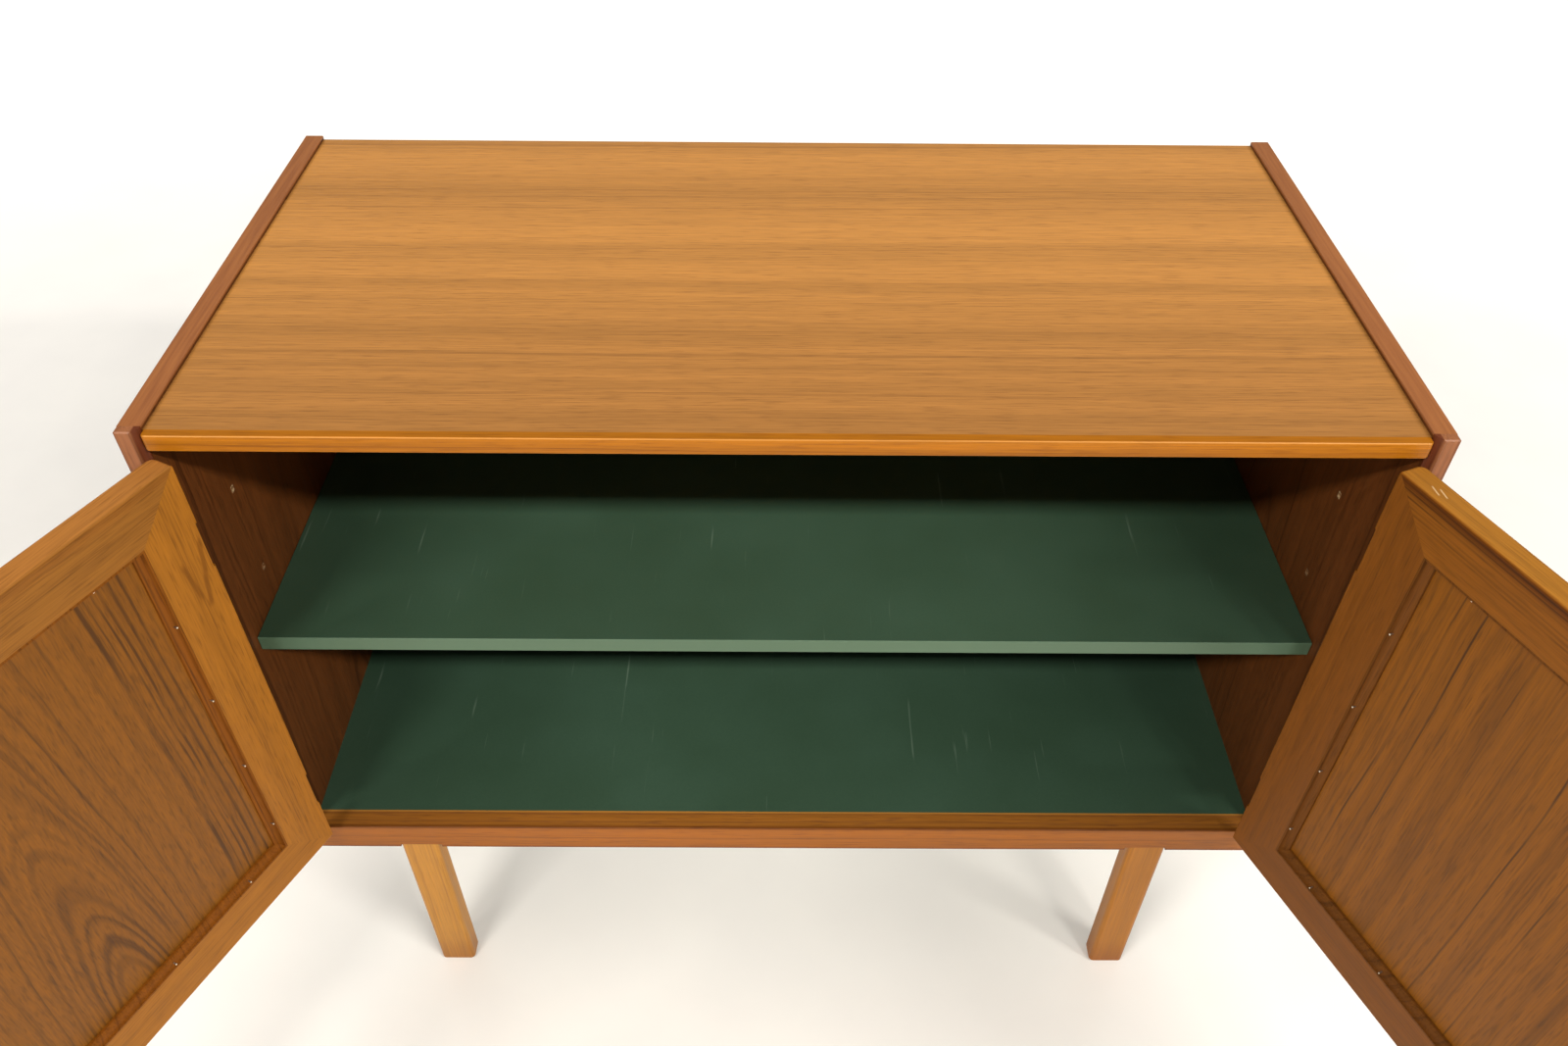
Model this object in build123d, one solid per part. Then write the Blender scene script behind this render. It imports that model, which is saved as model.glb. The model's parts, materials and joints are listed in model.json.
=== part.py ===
from build123d import *
import os

os.makedirs("parts", exist_ok=True)

# A teak cabinet on legs with two framed doors, standing open, and one loose painted shelf.
# Millimetres. The origin is on the floor under the middle of the carcass; -Y is the front.

# ---- driving dimensions ------------------------------------------------------------------
width = 1000.0          # over the two side panels
depth = 494.0           # side panels, front edge to back edge
height = 790.0          # floor to the top edges of the side panels
floor_level = 275.0     # upper face of the bottom panel

side_thickness = 18.0
top_thickness = 15.0
top_drop = 4.0          # top surface below the side panels' top edges
top_setback = 1.0       # top's front edge behind the side panels' front edges
bottom_thickness = 16.0
lipping_depth = 8.0     # solid strips glued to the front edges
side_bevel = 6.0        # on the inner front arris of each side lipping
arris = 1.5             # eased edges of solid wood
top_corner_radius = 4.0

rail_depth = 21.0
rail_height = 36.0

back_thickness = 4.0
rebate_depth = 8.0
rebate_width = 8.0
back_clearance = 0.5

shelf_thickness = 16.0
shelf_drop = 268.0      # shelf's upper face below the side panels' top edges
shelf_setback = 38.0
shelf_end_gap = 0.8
shelf_back_gap = 3.0

pin_hole_radius = 2.5
pin_hole_depth = 9.0
spare_hole_drops = [230.0, 135.0]   # spare pin holes below the side panels' top edges
pin_row_front = 92.0                # pin rows from the front edge
pin_row_back = 92.0                 # and from the back edge
shelf_pin_reach = 9.0
fit_gap = 0.1                       # radial clearance of pins, dowels and screws

leg_width = 38.0
leg_depth = 24.0
leg_inset = 100.0       # leg's outer face in from the side panel's outer face
leg_let_in = 5.0        # leg's top let into the rail's lower edge
leg_notch_slack = 5.0   # notch is this much wider, on the leg's inner side
leg_radius = 5.0
foot_chamfer = 2.0
leg_bolt_radius = 4.0
leg_bolt_in_leg = 40.0
leg_bolt_in_rail = 24.0
glide_radius = 9.0
glide_thickness = 2.0
glide_nail_radius = 1.2
glide_nail_length = 14.0

door_thickness = 22.0
door_setback = 2.0      # outer face behind the side panels' front edges
door_top_gap = 2.0
door_bottom_gap = 3.0
door_hinge_gap = 3.2
door_meeting_gap = 2.0
frame_width = 47.5      # frame face up to the beads
bead_width = 8.0
bead_flat = 2.0
bead_toe = 2.5          # bead's height where it meets the panel
door_lip = 8.0          # frame left in front of the door panel
door_panel_thickness = 5.0
panel_play = 0.5
frame_arris = 3.0
inner_arris = 1.0
hinge_arris = 7.0       # rounded outer arris on the hinge side
left_open_angle = 116.0
right_open_angle = 112.6

bead_pin_pitch = 91.0
bead_pin_from_hinge_edge = 94.0
bead_pin_from_bottom = 87.0
bead_pin_radius = 0.7
bead_pin_depth = 7.0
bead_pin_sunk = 1.2     # pin head below the door's inner face

tongue_size = 26.0      # loose tongues in the mitres
tongue_thickness = 4.0
tongue_from_edge = 12.0
tongue_play = 0.2

hinge_length = 46.0
hinge_inset = 58.5      # hinge end from the door's top or bottom edge
hinge_leaf = 1.5        # leaf thickness
hinge_leaf_width = 20.0
hinge_gain = 2.0        # depth of the recess in the door's edge
knuckle_radius = 2.2
hinge_pin_radius = 1.0
hinge_pin_gap = 0.05
knuckle_count = 5
knuckle_play = 0.3
knuckle_clearance = 0.4

screw_head_radius = 2.6
screw_head_height = 1.4
screw_shank_radius = 1.2
screw_length = 14.0
hinge_screw_spread = 15.0

back_screw_length = 13.0
back_screws_across = 5
back_screws_up = 3

dowel_radius = 4.0
dowel_in_side = 11.0
dowel_in_panel = 18.0

knob_radius = 10.0
knob_neck_radius = 5.5
knob_neck_length = 7.0
knob_reach = 19.0
knob_rounding = 3.5
knob_above_middle = 60.0
knob_screw_depth = 12.0     # into the knob
knob_screw_radius = 2.0

catch_length = 44.0
catch_depth = 14.0
catch_height = 15.0
catch_gap = 0.6         # catch face to strike plate, door shut
strike_thickness = 1.2
strike_size = (38.0, 13.0)
catch_from_middle = 46.0
catch_screw_spread = 15.0
catch_screw_bite = 9.0  # into the top panel

# ---- places worked out from them ---------------------------------------------------------
front = -depth / 2
back = depth / 2
inner = width / 2 - side_thickness      # inner face of each side panel
top_surface = height - top_drop
top_underside = top_surface - top_thickness
bottom_underside = floor_level - bottom_thickness
rail_bottom = floor_level - rail_height
leg_top = rail_bottom + leg_let_in
leg_outer = width / 2 - leg_inset
leg_inner = leg_outer - leg_width
back_panel_face = back - rebate_depth
shelf_level = height - shelf_drop

door_bottom = floor_level + door_bottom_gap
door_top = top_underside - door_top_gap
door_outer_face = front + door_setback
door_inner_face = door_outer_face + door_thickness
door_edge = -inner + door_hinge_gap                 # left door, shut, hinge side
door_meeting_edge = -door_meeting_gap / 2
door_panel_face = door_inner_face - (door_thickness - door_lip - door_panel_thickness)

gain_floor = door_edge + hinge_gain
pin_x = (-inner + gain_floor) / 2                    # left hinge pin, midway between the leaves
pin_y = front
hinge_bottoms = [door_bottom + hinge_inset, door_top - hinge_inset - hinge_length]


# ---- small makers ------------------------------------------------------------------------
UP = (0, 0, 1)
FORWARD = (0, -1, 0)


def block(x0, x1, y0, y1, z0, z1):
    return Pos((x0 + x1) / 2, (y0 + y1) / 2, (z0 + z1) / 2) * Box(x1 - x0, y1 - y0, z1 - z0)


def rod(start, direction, radius, length):
    """A round bar from a point along a direction."""
    place = Plane(origin=start, z_dir=direction)
    return place * Cylinder(radius, length, align=(Align.CENTER, Align.CENTER, Align.MIN))


def countersunk_screw(start, direction, length, grow=0.0):
    """A screw whose head lies flush at the start point; grow makes its hole."""
    place = Plane(origin=start, z_dir=direction)
    head = Cone(screw_head_radius + grow, screw_shank_radius + grow, screw_head_height,
                align=(Align.CENTER, Align.CENTER, Align.MIN))
    shank = Cylinder(screw_shank_radius + grow, length + grow,
                     align=(Align.CENTER, Align.CENTER, Align.MIN))
    return place * (head + shank)


def upright_edges(shape, x, y, near=0.6):
    """Vertical edges of a shape that stand at a plan position."""
    found = [e for e in shape.edges().filter_by(Axis.Z)
             if abs(e.center().X - x) < near and abs(e.center().Y - y) < near]
    return found


def mirrored(shapes):
    return [mirror(shape, about=Plane.YZ) for shape in shapes]


def save(node, *shapes):
    solids = [solid for shape in shapes for solid in shape.solids()]
    body = solids[0] if len(solids) == 1 else Compound(children=solids)
    body.label = node
    export_step(body, f"parts/{node}.step")


# ---- dowels between the sides and what runs between them -----------------------------------
top_dowel_level = (top_surface + top_underside) / 2
bottom_dowel_level = (floor_level + bottom_underside) / 2
rail_dowel_level = rail_bottom + rail_height / 2
dowel_places = [(front + share * depth, top_dowel_level) for share in (0.12, 0.37, 0.62, 0.87)]
dowel_places += [(front + share * depth, bottom_dowel_level) for share in (0.25, 0.5, 0.75)]
dowel_places += [(front + lipping_depth + dowel_radius + 1, rail_dowel_level),
                 (back - rail_depth / 2, (rail_bottom + bottom_underside) / 2)]


def dowel(side, y, z, grow=0.0):
    start = side * (inner - dowel_in_panel - grow)
    return rod((start, y, z), (side, 0, 0), dowel_radius + grow, dowel_in_panel + dowel_in_side + 2 * grow)


dowels = [dowel(side, y, z) for side in (-1, 1) for y, z in dowel_places]
dowel_holes = [dowel(side, y, z, fit_gap) for side in (-1, 1) for y, z in dowel_places]
left_dowel_holes = dowel_holes[:len(dowel_places)]

# ---- back panel and its screws -----------------------------------------------------------
rebate = block(-inner - rebate_width, inner + rebate_width, back_panel_face, back,
               bottom_underside, top_underside + rebate_width)
back_panel = block(-inner - rebate_width + back_clearance, inner + rebate_width - back_clearance,
                   back_panel_face, back_panel_face + back_thickness,
                   bottom_underside + back_clearance, top_underside + rebate_width - back_clearance)

screw_x = inner + rebate_width / 2
screw_low = bottom_underside + rebate_width
screw_high = top_underside + rebate_width / 2
back_screw_places = []
for i in range(back_screws_across):
    x = -screw_x + (i + 0.5) * 2 * screw_x / back_screws_across
    back_screw_places += [(x, screw_low), (x, screw_high)]
for i in range(back_screws_up):
    z = screw_low + (i + 0.5) * (screw_high - screw_low) / back_screws_up
    back_screw_places += [(-screw_x, z), (screw_x, z)]


def back_screw(x, z, grow=0.0):
    return countersunk_screw((x, back_panel_face + back_thickness, z), FORWARD, back_screw_length, grow)


back_screws = [back_screw(x, z) for x, z in back_screw_places]
back_screw_holes = [back_screw(x, z, fit_gap / 2) for x, z in back_screw_places]
back_panel -= back_screw_holes
save("back_panel", back_panel)
save("back_panel_screws", *back_screws)

# ---- hinges ------------------------------------------------------------------------------
side_leaf_x = (-inner, -inner + hinge_leaf)
door_leaf_x = (gain_floor - hinge_leaf, gain_floor)
screw_row = pin_y + knuckle_radius + 0.62 * (hinge_leaf_width - knuckle_radius)
knuckle_pitch = hinge_length / knuckle_count


def hinge_screws_at(bottom, on_door, grow=0.0):
    """Three screws of one leaf, entering the door's edge or the side panel."""
    face = door_leaf_x[0] if on_door else side_leaf_x[1]
    way = 1 if on_door else -1
    middle = bottom + hinge_length / 2
    levels = [middle + step * hinge_screw_spread for step in (-1, 0, 1)]
    return [countersunk_screw((face, screw_row, z), (way, 0, 0), screw_length, grow) for z in levels]


def hinge_leaf_solid(bottom, on_door):
    """A leaf with its own knuckles, bored for the pin; the door's leaf has the second and fourth."""
    x0, x1 = door_leaf_x if on_door else side_leaf_x
    leaf = block(x0, x1, pin_y, pin_y + hinge_leaf_width, bottom, bottom + hinge_length)
    for i in range(knuckle_count):
        mine = (i % 2 == 1) == on_door
        low = bottom + i * knuckle_pitch
        if mine:
            leaf += rod((pin_x, pin_y, low + knuckle_play / 2), UP, knuckle_radius,
                        knuckle_pitch - knuckle_play)
        else:
            leaf -= rod((pin_x, pin_y, low - knuckle_play / 2), UP, knuckle_radius + knuckle_clearance,
                        knuckle_pitch + knuckle_play)
    leaf -= rod((pin_x, pin_y, bottom - 1), UP, hinge_pin_radius + hinge_pin_gap, hinge_length + 2)
    leaf -= hinge_screws_at(bottom, on_door, fit_gap / 2)
    return leaf


hinge_side_screws = []
hinge_side_screw_holes = []
hinge_door_screws = []
gains = []
door_leaves = []
side_leaves = []
hinge_pins = []
for bottom in hinge_bottoms:
    hinge_side_screws += hinge_screws_at(bottom, False)
    hinge_side_screw_holes += hinge_screws_at(bottom, False, fit_gap / 2)
    hinge_door_screws += hinge_screws_at(bottom, True)
    gains.append(block(door_edge - 1, gain_floor, door_outer_face - 1, door_inner_face + 1,
                       bottom - fit_gap, bottom + hinge_length + fit_gap))
    side_leaves.append(hinge_leaf_solid(bottom, False))
    door_leaves.append(hinge_leaf_solid(bottom, True))
    hinge_pins.append(rod((pin_x, pin_y, bottom - 0.5), UP, hinge_pin_radius, hinge_length + 1.0))

# ---- side panels with their lippings ---------------------------------------------------------
pin_rows = [front + pin_row_front, back - pin_row_back]
shelf_pin_level = shelf_level - shelf_thickness - pin_hole_radius
pin_levels = [height - drop for drop in spare_hole_drops] + [shelf_pin_level]


def shelf_pin(y, z, reach, grow=0.0):
    """A pin of the left side panel, standing out into the cabinet by its reach."""
    start = -inner - pin_hole_depth + 0.5 - grow
    return rod((start, y, z), (1, 0, 0), pin_hole_radius + grow, pin_hole_depth - 0.5 + grow + reach)


pin_holes = [shelf_pin(y, z, 1.0, fit_gap / 2) for y in pin_rows for z in pin_levels]
side_panel = block(-width / 2, -inner, front + lipping_depth, back, rail_bottom, height)
outer_top = side_panel.edges().filter_by(Axis.Y).group_by(Axis.Z)[-1]
side_panel = fillet(outer_top, arris * 0.6)
side_panel -= [rebate] + left_dowel_holes + pin_holes + hinge_side_screw_holes + back_screw_holes

side_lipping = block(-width / 2, -inner, front, front + lipping_depth, rail_bottom, height)
side_lipping = chamfer(upright_edges(side_lipping, -inner, front), side_bevel)
side_lipping = fillet(upright_edges(side_lipping, -width / 2, front), arris)
side_lipping = chamfer(side_lipping.edges().filter_by(Axis.X).group_by(Axis.Z)[-1].sort_by(Axis.Y)[0], 1.0)
side_lipping -= hinge_side_screw_holes

save("left_side_panel", side_panel)
save("right_side_panel", *mirrored([side_panel]))
save("left_side_lipping", side_lipping)
save("right_side_lipping", *mirrored([side_lipping]))

# ---- top with its lipping ---------------------------------------------------------------------
top_front = front + top_setback
catch_screw_places = [side * (catch_from_middle + step * catch_screw_spread)
                      for side in (-1, 1) for step in (-1, 1)]
catch_front = door_inner_face + strike_thickness + catch_gap
catch_bottom = top_underside - catch_height


def catch_screw(x, grow=0.0):
    place = (x, catch_front + catch_depth * 0.6, catch_bottom)
    return countersunk_screw(place, UP, catch_height + catch_screw_bite, grow)


catch_screw_holes = [catch_screw(x, fit_gap / 2) for x in catch_screw_places]
top_panel = block(-inner, inner, top_front + lipping_depth, back, top_underside, top_surface)
top_panel -= [rebate] + dowel_holes + back_screw_holes + catch_screw_holes
top_lipping = block(-inner, inner, top_front, top_front + lipping_depth, top_underside, top_surface)
corners = upright_edges(top_lipping, -inner, top_front) + upright_edges(top_lipping, inner, top_front)
top_lipping = fillet(corners, top_corner_radius)
long_front = [e for e in top_lipping.edges().filter_by(Axis.X) if abs(e.center().Y - top_front) < 0.1]
top_lipping = fillet(long_front, arris)
save("top_panel", top_panel)
save("top_front_lipping", top_lipping)

# ---- bottom panel and the two rails ----------------------------------------------------------
bottom_panel = block(-inner, inner, front + rail_depth, back - rail_depth, bottom_underside, floor_level)
bottom_panel -= dowel_holes
save("bottom_panel", bottom_panel)


def leg_bolt(side, y, grow=0.0):
    x = side * (leg_outer + leg_inner) / 2
    return rod((x, y, leg_top - leg_bolt_in_leg - grow), UP, leg_bolt_radius + grow,
               leg_bolt_in_leg + leg_bolt_in_rail + 2 * grow)


# in the middle of each rail's solid part
bolt_rows = [front + rail_depth / 2, (back - rail_depth + back_panel_face) / 2]
leg_bolts = [leg_bolt(side, y) for side in (-1, 1) for y in bolt_rows]
leg_bolt_holes = [leg_bolt(side, y, fit_gap) for side in (-1, 1) for y in bolt_rows]
leg_notches = [block(min(side * (leg_inner - leg_notch_slack), side * leg_outer),
                     max(side * (leg_inner - leg_notch_slack), side * leg_outer),
                     front - 1, back + 1, rail_bottom - 1, leg_top) for side in (-1, 1)]
rail_cuts = dowel_holes + leg_bolt_holes + leg_notches

front_rail = block(-inner, inner, front, front + rail_depth, rail_bottom, floor_level)
rail_front_edges = [e for e in front_rail.edges().filter_by(Axis.X) if abs(e.center().Y - front) < 0.1]
front_rail = fillet(rail_front_edges, arris)
front_rail -= rail_cuts
back_rail = block(-inner, inner, back - rail_depth, back, rail_bottom, floor_level)
back_rail -= rail_cuts + [rebate] + back_screw_holes
save("bottom_front_rail", front_rail)
save("bottom_back_rail", back_rail)
save("carcass_dowels", *dowels)

# ---- shelf and its pins -----------------------------------------------------------------------
shelf = block(-inner + shelf_end_gap, inner - shelf_end_gap, front + shelf_setback,
              back_panel_face - shelf_back_gap, shelf_level - shelf_thickness, shelf_level)
shelf = fillet(shelf.edges().filter_by(Axis.X).group_by(Axis.Y)[0], 0.8)
left_shelf_pins = [shelf_pin(y, shelf_pin_level, shelf_pin_reach) for y in pin_rows]
save("shelf", shelf)
save("shelf_pins", *left_shelf_pins, *mirrored(left_shelf_pins))

# ---- legs --------------------------------------------------------------------------------------
leg = block(-leg_outer, -leg_inner, front, front + leg_depth, glide_thickness, leg_top)
leg = fillet(leg.edges().filter_by(Axis.Z), leg_radius)
leg = chamfer(leg.faces().sort_by(Axis.Z)[0].edges(), foot_chamfer)


def glide(side, row, grow=0.0):
    """A pressed steel foot with its nail, under the middle of a leg."""
    x = side * (leg_outer + leg_inner) / 2
    y = (front + leg_depth / 2) * row
    disc = rod((x, y, 0), UP, glide_radius, glide_thickness)
    disc = chamfer(disc.faces().sort_by(Axis.Z)[0].edges(), 0.8)
    nail = rod((x, y, glide_thickness), UP, glide_nail_radius + grow, glide_nail_length + grow)
    return nail if grow else disc + nail


glides = [glide(side, row) for side in (-1, 1) for row in (1, -1)]
front_left_leg = leg - [leg_bolt(-1, bolt_rows[0], fit_gap), glide(-1, 1, fit_gap)]
back_left_leg = mirror(leg, about=Plane.XZ) - [leg_bolt(-1, bolt_rows[1], fit_gap), glide(-1, -1, fit_gap)]
save("front_left_leg", front_left_leg)
save("back_left_leg", back_left_leg)
save("front_right_leg", *mirrored([front_left_leg]))
save("back_right_leg", *mirrored([back_left_leg]))
save("leg_bolts", *leg_bolts)
save("leg_glides", *glides)

# ---- left door, made shut ---------------------------------------------------------------------
# A mitred frame with a rebate on the inside, a veneered panel held by four nailed beads.
inset = frame_width + bead_width


def mitred(x0, x1, z0, z1, reach, edge, y0, y1):
    """One member of a mitred frame: the board along one edge of the rectangle x0..x1, z0..z1."""
    outer = {"low_x": [(x0, z0), (x0, z1)], "high_x": [(x1, z0), (x1, z1)],
             "low_z": [(x0, z0), (x1, z0)], "high_z": [(x0, z1), (x1, z1)]}[edge]
    middle_x, middle_z = (x0 + x1) / 2, (z0 + z1) / 2

    def inwards(point):
        x, z = point
        return (x + reach if x < middle_x else x - reach, z + reach if z < middle_z else z - reach)

    outline = [outer[0], outer[1], inwards(outer[1]), inwards(outer[0])]
    face = make_face(Polyline([(x, y0, z) for x, z in outline], close=True))
    return extrude(face, amount=y1 - y0, dir=(0, 1, 0))


door_box = (door_edge, door_meeting_edge, door_bottom, door_top)
bead_space = block(door_edge + frame_width, door_meeting_edge - frame_width, door_outer_face + door_lip,
                   door_inner_face + 1, door_bottom + frame_width, door_top - frame_width)

tongues = []
mortises = []
for x_side, edge_x in ((1, door_edge), (-1, door_meeting_edge)):
    for z_side, edge_z in ((1, door_bottom), (-1, door_top)):
        xs = sorted([edge_x + x_side * tongue_from_edge, edge_x + x_side * (tongue_from_edge + tongue_size)])
        zs = sorted([edge_z + z_side * tongue_from_edge, edge_z + z_side * (tongue_from_edge + tongue_size)])
        low = door_outer_face + (door_thickness - tongue_thickness) / 2
        tongues.append(block(*xs, low, low + tongue_thickness, *zs))
        mortises.append(block(xs[0] - tongue_play, xs[1] + tongue_play, low - tongue_play,
                              low + tongue_thickness + tongue_play, zs[0] - tongue_play, zs[1] + tongue_play))

strike_x = -catch_from_middle
strike_z = door_top - door_top_gap - strike_size[1] / 2
knob_z = (door_bottom + door_top) / 2 + knob_above_middle
knob_x = door_meeting_edge - frame_width * 0.55
knob_screw_hole = rod((knob_x, door_outer_face - 1, knob_z), (0, 1, 0), knob_screw_radius + fit_gap,
                      door_thickness + 2)
screw_cuts = [cut for bottom in hinge_bottoms for cut in hinge_screws_at(bottom, True, fit_gap / 2)]

blank = block(door_edge, door_meeting_edge, door_outer_face, door_inner_face, door_bottom, door_top)
blank = fillet(upright_edges(blank, door_edge, door_outer_face), hinge_arris)
blank = fillet(upright_edges(blank, door_meeting_edge, door_outer_face), frame_arris)
blank = fillet(upright_edges(blank, door_edge, door_inner_face), inner_arris)
blank = fillet(upright_edges(blank, door_meeting_edge, door_inner_face), inner_arris)
blank = fillet(blank.faces().sort_by(Axis.Z)[-1].edges(), frame_arris)
blank = fillet(blank.faces().sort_by(Axis.Z)[0].edges(), frame_arris)

member_cuts = [bead_space] + mortises
members = {}
for name, edge, more_cuts in (("hinge_stile", "low_x", gains + screw_cuts),
                              ("meeting_stile", "high_x", [knob_screw_hole]),
                              ("bottom_rail", "low_z", []), ("top_rail", "high_z", [])):
    board = mitred(*door_box, inset, edge, door_outer_face, door_inner_face)
    members[name] = (board & blank) - (member_cuts + more_cuts)

door_panel = block(door_edge + frame_width + panel_play, door_meeting_edge - frame_width - panel_play,
                   door_outer_face + door_lip, door_panel_face,
                   door_bottom + frame_width + panel_play, door_top - frame_width - panel_play)


def pin_run(first, last):
    """Places one bead_pin_pitch apart, from the first to no further than the last."""
    return [first + i * bead_pin_pitch for i in range(int((last - first) // bead_pin_pitch) + 1)]


def bead(edge):
    """A mitred bead with a hollow face that falls from the frame to the panel."""
    x0, x1 = door_edge + frame_width, door_meeting_edge - frame_width
    z0, z1 = door_bottom + frame_width, door_top - frame_width
    strip = mitred(x0, x1, z0, z1, bead_width, edge, door_panel_face, door_inner_face)
    fall = door_inner_face - door_panel_face - bead_toe
    run = bead_width - bead_flat
    # the hollow is a round bar's worth taken off along the bead's inner top edge
    along_z = edge in ("low_x", "high_x")
    length = (z1 - z0 if along_z else x1 - x0) + 20
    radius = (run ** 2 + fall ** 2) / (2 * fall)
    if along_z:
        place_x = x0 + bead_width if edge == "low_x" else x1 - bead_width
        start = (place_x, door_inner_face - fall + radius, z0 - 10)
        direction = UP
    else:
        place_z = z0 + bead_width if edge == "low_z" else z1 - bead_width
        start = (x0 - 10, door_inner_face - fall + radius, place_z)
        direction = (1, 0, 0)
    return strip - rod(start, direction, radius, length)


beads = [bead(edge) for edge in ("low_x", "high_x", "low_z", "high_z")]

# small pins through the beads, sunk a little below the hollow face
bead_pin_places = []
row = frame_width + bead_flat + 0.8
for x in pin_run(door_edge + bead_pin_from_hinge_edge, door_meeting_edge - inset - bead_width):
    bead_pin_places += [(x, door_bottom + row), (x, door_top - row)]
for z in pin_run(door_bottom + bead_pin_from_bottom, door_top - inset - bead_width):
    bead_pin_places += [(door_edge + row, z), (door_meeting_edge - row, z)]
bead_pin_face = door_inner_face - bead_pin_sunk
bead_pins = [rod((x, bead_pin_face, z), FORWARD, bead_pin_radius, bead_pin_depth) for x, z in bead_pin_places]
bead_pin_holes = [rod((x, door_inner_face + 1, z), FORWARD, bead_pin_radius + fit_gap / 2,
                      bead_pin_sunk + bead_pin_depth + 1 + fit_gap) for x, z in bead_pin_places]
beads = [one - bead_pin_holes for one in beads]

# knob on the outside of the meeting stile, held from inside
knob = rod((knob_x, door_outer_face, knob_z), FORWARD, knob_neck_radius, knob_neck_length)
head = rod((knob_x, door_outer_face - knob_neck_length, knob_z), FORWARD, knob_radius,
           knob_reach - knob_neck_length)
head = fillet(head.edges().filter_by(GeomType.CIRCLE), knob_rounding)
knob += head
knob -= rod((knob_x, door_outer_face + 1, knob_z), FORWARD, knob_screw_radius + fit_gap,
            knob_screw_depth + 1.5)
screw_head = rod((knob_x, door_inner_face, knob_z), (0, 1, 0), knob_screw_radius * 2, 1.8)
screw_head = fillet(screw_head.edges().filter_by(GeomType.CIRCLE).sort_by(Axis.Y)[-1], 0.9)
knob_screw = screw_head + rod((knob_x, door_inner_face, knob_z), FORWARD, knob_screw_radius,
                              door_thickness + knob_screw_depth)

strike = block(strike_x - strike_size[0] / 2, strike_x + strike_size[0] / 2,
               door_inner_face, door_inner_face + strike_thickness,
               strike_z - strike_size[1] / 2, strike_z + strike_size[1] / 2)
strike = fillet(strike.edges().filter_by(Axis.Y), 2.0)

left_door = {name: [member] for name, member in members.items()}
left_door |= {"panel": [door_panel], "beads": beads, "bead_pins": bead_pins, "mitre_tongues": tongues,
              "knob": [knob], "knob_screw": [knob_screw], "strike_plate": [strike],
              "hinge_screws": hinge_door_screws}

# ---- both doors and their hinges, swung open -----------------------------------------------------
hinge_names = ("lower", "upper")
left_pin = Axis((pin_x, pin_y, 0), UP)
right_pin = Axis((-pin_x, pin_y, 0), UP)


def save_door(side, pieces, leaves, pin_axis, turn):
    for name, shapes in pieces.items():
        save(f"{side}_door_{name}", *[shape.rotate(pin_axis, turn) for shape in shapes])
    for name, leaf in zip(hinge_names, leaves):
        save(f"{side}_{name}_hinge_door_leaf", leaf.rotate(pin_axis, turn))


save_door("left", left_door, door_leaves, left_pin, -left_open_angle)
save_door("right", {name: mirrored(shapes) for name, shapes in left_door.items()},
          mirrored(door_leaves), right_pin, right_open_angle)
for name, leaf in zip(hinge_names, side_leaves):
    save(f"left_{name}_hinge_side_leaf", leaf)
    save(f"right_{name}_hinge_side_leaf", *mirrored([leaf]))
save("left_hinge_pins", *hinge_pins)
save("right_hinge_pins", *mirrored(hinge_pins))
save("hinge_side_screws", *hinge_side_screws, *mirrored(hinge_side_screws))

# ---- magnetic catches under the top -----------------------------------------------------------
catches = []
for side in (-1, 1):
    x = side * catch_from_middle
    case = block(x - catch_length / 2, x + catch_length / 2, catch_front, catch_front + catch_depth,
                 catch_bottom, top_underside)
    case = fillet(case.edges().filter_by(Axis.Z), 2.0)
    catches.append(case - catch_screw_holes)
save("magnetic_catches", *catches)
save("catch_screws", *[catch_screw(x) for x in catch_screw_places])
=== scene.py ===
import json
import math

import bmesh
import bpy
from mathutils import Matrix, Vector


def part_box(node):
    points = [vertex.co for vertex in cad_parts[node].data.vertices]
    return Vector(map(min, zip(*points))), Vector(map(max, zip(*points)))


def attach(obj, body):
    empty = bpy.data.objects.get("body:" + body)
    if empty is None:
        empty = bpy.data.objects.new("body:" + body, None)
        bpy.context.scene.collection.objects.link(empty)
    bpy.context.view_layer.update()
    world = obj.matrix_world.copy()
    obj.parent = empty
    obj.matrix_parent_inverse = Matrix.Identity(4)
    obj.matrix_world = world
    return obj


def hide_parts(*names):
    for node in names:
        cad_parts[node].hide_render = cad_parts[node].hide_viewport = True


# The looks of a teak cabinet on legs, its two framed doors standing open. Metres; -Y is the front.

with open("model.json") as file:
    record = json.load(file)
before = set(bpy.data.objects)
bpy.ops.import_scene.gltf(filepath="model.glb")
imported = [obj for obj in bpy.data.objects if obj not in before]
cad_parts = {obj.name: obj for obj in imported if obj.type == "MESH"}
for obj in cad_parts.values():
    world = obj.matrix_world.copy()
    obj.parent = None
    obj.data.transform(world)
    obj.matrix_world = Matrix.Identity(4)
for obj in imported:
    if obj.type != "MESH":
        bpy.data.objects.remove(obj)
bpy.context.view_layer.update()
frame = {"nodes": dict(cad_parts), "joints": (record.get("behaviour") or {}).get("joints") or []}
scene = bpy.context.scene

MM = 0.001
RIGHT, BACKWARD, UP = Vector((1, 0, 0)), Vector((0, 1, 0)), Vector((0, 0, 1))
OUTWARD_SIGN = {"left": -1, "right": 1}     # which way along X a side of the cabinet faces

joints = {joint["name"]: joint for joint in frame["joints"]}
# each door's turn from rest to shut, its swing from shut to rest seen from above, and its pin
to_shut = {side: math.radians(joints[f"{side}_door_hinge"]["range_deg"][0]) for side in OUTWARD_SIGN}
door_swing = {side: Matrix.Rotation(-sign * to_shut[side], 3, "Z") for side, sign in OUTWARD_SIGN.items()}
hinge_pin = {side: Vector(joints[f"{side}_door_hinge"]["pos_m"]) for side in OUTWARD_SIGN}
inner_way = {side: swing @ BACKWARD for side, swing in door_swing.items()}


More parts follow.
